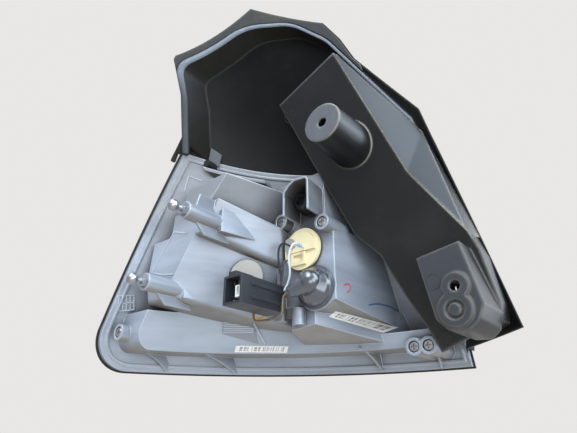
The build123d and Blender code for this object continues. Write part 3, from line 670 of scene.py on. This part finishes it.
def lattice():
    # crossing bars between the points of a grid
    inputs = {"Width": "Float", "Height": "Float", "Columns": "Int", "Rows": "Int", "Bar": "Float"}
    s = Shapes("lattice", inputs)
    grid = s.add("GeometryNodeMeshGrid", None, {
        "Size X": s.given["Width"], "Size Y": s.given["Height"],
        "Vertices X": s.given["Columns"], "Vertices Y": s.given["Rows"],
    })
    lines = s.add("GeometryNodeMeshToCurve", None, {"Mesh": grid})
    section = {"Resolution": BAR_SIDES, "Radius": s.given["Bar"]}
    ring = s.add("GeometryNodeCurvePrimitiveCircle", None, section)
    sockets = {"Curve": lines, "Profile Curve": ring, "Fill Caps": True}
    return s.close(s.add("GeometryNodeCurveToMesh", None, sockets))


def ring_marks():
    # a thin ring on every point, square to the direction stored on it
    s = Shapes("ring_marks", {"Radius": "Float", "Line": "Float"}, takes_mesh=True)
    outline = {"Resolution": RING_SIDES, "Radius": s.given["Radius"]}
    circle = s.add("GeometryNodeCurvePrimitiveCircle", None, outline)
    section = {"Resolution": BAR_SIDES, "Radius": s.given["Line"]}
    line = s.add("GeometryNodeCurvePrimitiveCircle", None, section)
    ring = s.add("GeometryNodeCurveToMesh", None, {"Curve": circle, "Profile Curve": line})
    facing = s.add("GeometryNodeInputNamedAttribute", {"data_type": "FLOAT_VECTOR"}, {"Name": "facing"})
    turned = s.add("FunctionNodeAlignRotationToVector", {"axis": "Z"}, {"Vector": facing})
    sockets = {"Points": s.given["Geometry"], "Instance": ring, "Rotation": turned}
    return s.close(s.add("GeometryNodeInstanceOnPoints", None, sockets))


def marked_points(name, touches):
    # loose points that carry the way their surface faces
    mesh = bpy.data.meshes.new(name)
    mesh.from_pydata([place for place, _ in touches], [], [])
    facing = mesh.attributes.new("facing", "FLOAT_VECTOR", "POINT")
    for i, (_, normal) in enumerate(touches):
        facing.data[i].vector = normal
    return mesh


def standing(place, along, normal):
    # a frame with its X along one way and its Z square to a surface
    across = normal.cross(along).normalized()
    turn = Matrix((across.cross(normal), across, normal)).transposed().to_4x4()
    return Matrix.Translation(place) @ turn


def printed_paper(name, columns):
    # stained paper with two rows of plain bars
    f = Finish(name)
    spot = f.add("ShaderNodeTexCoord", out="UV")
    across = f.add("ShaderNodeSeparateXYZ", None, {0: spot}, "X")
    down = f.add("ShaderNodeSeparateXYZ", None, {0: spot}, "Y")
    column = (across * columns).floor()
    chance = f.add("ShaderNodeTexWhiteNoise", {"noise_dimensions": "1D"}, {"W": column}, "Value")
    upper, lower = (down.above(start) * down.below(end) for start, end in PRINT_ROWS)
    span = across.above(PRINT_SPAN[0]) * across.below(PRINT_SPAN[1])
    bars = chance.above(BAR_CHANCE) * span * (upper + lower)
    stain = f.noise(300, 3)
    paper = f.blend(stain.ramp(0.4, 0.8) * 0.5, rgb(232, 231, 226), rgb(200, 194, 182))
    ink = f.blend(bars * 0.7, paper, rgb(70, 66, 62))
    return f.surface(base_color=ink, roughness=0.55 + 0.1 * stain)


def ribbed_pad():
    # a plate on the housing with a row of fine ribs
    place, normal = touch(housing, middle_of(RIB_PAD))
    corners = [on_plane(pixel, place, normal) for pixel in RIB_PAD]
    foot = [corner - normal * PAD_SINK for corner in corners]
    prism("rib_plate", pad_grey, foot, normal * PAD_THICK)
    along = corners[1] - corners[0]
    down = corners[3] - corners[0]
    start = corners[0].lerp(corners[1], 0.5) + normal * (PAD_THICK - PAD_SINK)
    frame_at = standing(start, along.normalized(), normal)
    across = frame_at.to_3x3() @ Vector((0, 1, 0))
    bar_row().make(
        "rib_row", "housing_grey", fine_grey, frame_at,
        Count=RIB_COUNT,
        Pitch=math.copysign(down.length / RIB_COUNT, across.dot(down)),
        Size=(along.length, RIB_WIDTH, RIB_HEIGHT),
    )


def lattice_window():
    # a small window of crossing bars, low on the outer side of the housing
    place, normal = touch(housing, middle_of(WINDOW))
    corners = [on_plane(pixel, place, normal) for pixel in WINDOW]
    along = corners[1] - corners[0]
    lattice().make(
        "lattice_window", "housing_grey", fine_grey,
        standing(place + normal * WINDOW_LIFT, along.normalized(), normal),
        Width=along.length,
        Height=(corners[3] - corners[0]).length,
        Columns=WINDOW_GRID[0],
        Rows=WINDOW_GRID[1],
        Bar=WINDOW_BAR,
    )


def plate(name, finish, pixels, place, normal, thickness):
    # a small flat plate standing on the plane through a place, drawn by its corners in the picture
    corners = [on_plane(pixel, place, normal) for pixel in pixels]
    return prism(name, finish, corners, normal * thickness)


def lead_sleeve():
    # the pale blue sleeve on the white lead where it enters the cream holder
    side, other, forward = Vector((1, 0, 0)), Vector((0, 0, 1)), Vector((0, 1, 0))
    outlines = [
        around(SLEEVE_AT + forward * along * MM, side, other, radius * MM, SLEEVE_SIDES)
        for along, radius in SLEEVE_PROFILE
    ]
    return threaded("lead_sleeve", plain("sleeve_blue", rgb(150, 190, 226), 0.4), outlines)


def smooth_lead(colour, route):
    # a round lead on one smooth curve through the bends of its solid
    knots = [Vector(knot) * MM for knot in route]
    knots = [2 * knots[0] - knots[1], *knots, 2 * knots[-1] - knots[-2]]
    line = []
    for before, start, end, after in zip(knots, knots[1:], knots[2:], knots[3:]):
        for step in range(LEAD_STEPS):
            t = step / LEAD_STEPS
            line.append(0.5 * (
                2 * start + t * (end - before)
                + t * t * (2 * before - 5 * start + 4 * end - after)
                + t * t * t * (3 * start - before - 3 * end + after)
            ))
    line.append(knots[-2])
    last = len(line) - 1
    side = Vector((1, 0, 0))
    outlines = []
    for i, place in enumerate(line):
        way = (line[min(i + 1, last)] - line[max(i - 1, 0)]).normalized()
        side = (side - way * side.dot(way)).normalized()
        outlines.append(around(place, side, way.cross(side), LEAD_RADIUS, LEAD_SIDES))
    node = "wire_" + colour
    piece = threaded("smooth_" + colour, FINISHES[node], outlines, smooth=True)
    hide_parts(node)


# Fine details, placed by where the picture shows them on the solids that carry them
housing = skin_of("rear_housing")
panel = skin_of("mount_bracket")
holder = skin_of("turn_bulb_holder")
sticker("long_sticker", housing, LONG_STICKER, printed_paper("long_label", LONG_BARS))
sticker("shelf_sticker", housing, SHELF_STICKER, printed_paper("shelf_label", SHELF_BARS))
stroke("red_mark", housing, RED_HOOK, RED_WIDTH, plain("red_pen", rgb(206, 70, 84), 0.5))
stroke("blue_mark", housing, BLUE_ARC, BLUE_WIDTH, plain("blue_pen", rgb(62, 88, 150), 0.5))
for ridge, pixels in RIDGES.items():
    stroke(ridge, housing, pixels, RIDGE_WIDTH, fine_grey, RIDGE_HEIGHT)
stroke("web_edge", housing, WEB_EDGE, WEB_WIDTH, fine_grey, WEB_HEIGHT)
ribbed_pad()
lattice_window()
ring_marks().make(
    "ejector_marks", "bracket_black", bracket,
    source=marked_points("ejector_points", [touch(panel, pixel) for pixel in EJECTORS]),
    Radius=EJECTOR_RADIUS,
    Line=EJECTOR_LINE,
)

# A small upright flap beside the guide pin, and the terminal lug at the edge of the turn lamp's holder
flap_foot, _ = touch(housing, FLAP_FOOT)
flap_grey = plain("flap_grey", rgb(92, 95, 98), 0.4, highlight_share=0.4)
plate("pin_flap", flap_grey, FLAP, flap_foot, FLAP_FACING, FLAP_THICK)
lug_foot, lug_normal = touch(holder, LUG_FOOT)
lug_foot = lug_foot - lug_normal * LUG_SINK
lug_tin = plain("lug_tin", rgb(196, 190, 180), 0.35, metallic=0.6)
plate("terminal_lug", lug_tin, LUG, lug_foot, lug_normal, LUG_THICK)
lead_sleeve()
for colour, route in SMOOTH_LEADS.items():
    smooth_lead(colour, route)


# Floor, light and viewpoint
FLOOR_HEIGHT = -0.55
FLOOR_RADIUS = 4.0
FLOOR_SIDES = 96
MIDDLE = Vector((-0.03, 0.03, -0.03))
SKY = (0.84, 0.92, 1.0)
WHITE = (1.0, 1.0, 1.0)
# Each panel's place, width, watts, colour and spread in degrees; all of them face the middle of the lamp
PANELS = {
    "key_panel": ((0.35, -0.95, 0.85), 0.8, 2.1, SKY, 60),
    "front_panel": ((0.53, -0.555, -0.39), 0.5, 0.4, SKY, 60),
    "side_panel": ((1.1, -0.3, -0.12), 0.7, 0.9, SKY, 60),
    "top_panel": ((0.0, -0.5, 1.3), 0.9, 0.9, SKY, 60),
    "rear_panel": ((-0.6, 1.3, 0.5), 1.2, 1.3, WHITE, 70),
    "gloss_panel": ((1.09, 0.33, 0.645), 1.3, 13, (0.72, 0.86, 1.0), 120),
    "streak_panel": ((0.82, 0.95, 0.12), 0.9, 4, (0.78, 0.88, 1.0), 120),
}
GLOSS_ONLY = ("gloss_panel", "streak_panel")
WARM_BELOW = (0.32, 0.275, 0.23, 1.0)
BLUE_ABOVE = (0.72, 0.83, 0.99, 1.0)
SENSOR = 36.0
NEAREST = 0.01


def pale_floor():
    f = Finish("pale_floor")
    dust = f.noise(3, 3)
    return f.surface(base_color=f.blend(dust, rgb(204, 198, 188), rgb(210, 204, 195)), roughness=0.8)


floor_mesh = bpy.data.meshes.new("floor")
floor_shape = bmesh.new()
floor_place = Matrix.Translation((0, 0, FLOOR_HEIGHT))
bmesh.ops.create_circle(
    floor_shape, cap_ends=True, segments=FLOOR_SIDES, radius=FLOOR_RADIUS, matrix=floor_place
)
floor_shape.to_mesh(floor_mesh)
floor_shape.free()
floor_mesh.materials.append(pale_floor())
floor = bpy.data.objects.new("floor", floor_mesh)
scene.collection.objects.link(floor)


def area_light(name, place, size, power, colour, spread):
    data = bpy.data.lights.new(name, "AREA")
    data.size = size
    data.energy = power
    data.color = colour
    data.spread = math.radians(spread)
    lamp = bpy.data.objects.new(name, data)
    lamp.location = place
    lamp.rotation_euler = (MIDDLE - Vector(place)).to_track_quat("-Z", "Y").to_euler()
    scene.collection.objects.link(lamp)
    return lamp


for name, settings in PANELS.items():
    lamp = area_light(name, *settings)
    lamp.visible_diffuse = name not in GLOSS_ONLY


def studio():
    # a pale backdrop behind the lamp, blue-grey above and dim warm grey below and behind the viewer
    world = bpy.data.worlds.new("studio")
    scene.world = world
    world.use_nodes = True
    w = Nodes(world.node_tree)
    way = w.add("ShaderNodeTexCoord", out="Generated")
    height = w.add("ShaderNodeSeparateXYZ", None, {0: way}, "Z")
    ahead = w.dot(way, tuple(-BACK))
    tint = w.blend(height.ramp(-0.45, 0.7), WARM_BELOW, BLUE_ABOVE)
    tint = w.blend(ahead.ramp(0.1, 0.62), tint, rgb(232, 231, 229))
    shown = w.add("ShaderNodeBackground", None, {"Color": tint, "Strength": 1.0})
    w.add("ShaderNodeOutputWorld", None, {"Surface": shown})


studio()

camera_data = bpy.data.cameras.new("camera")
camera_data.sensor_width = SENSOR
camera_data.lens = FOCAL / PICTURE[0] * SENSOR
camera_data.clip_start = NEAREST
camera = bpy.data.objects.new("camera", camera_data)
turn = Matrix((RIGHT, UP, BACK)).transposed().to_4x4()
camera.matrix_world = Matrix.Translation(CAMERA_PLACE) @ turn
scene.collection.objects.link(camera)
scene.camera = camera
scene.view_settings.view_transform = "Standard"
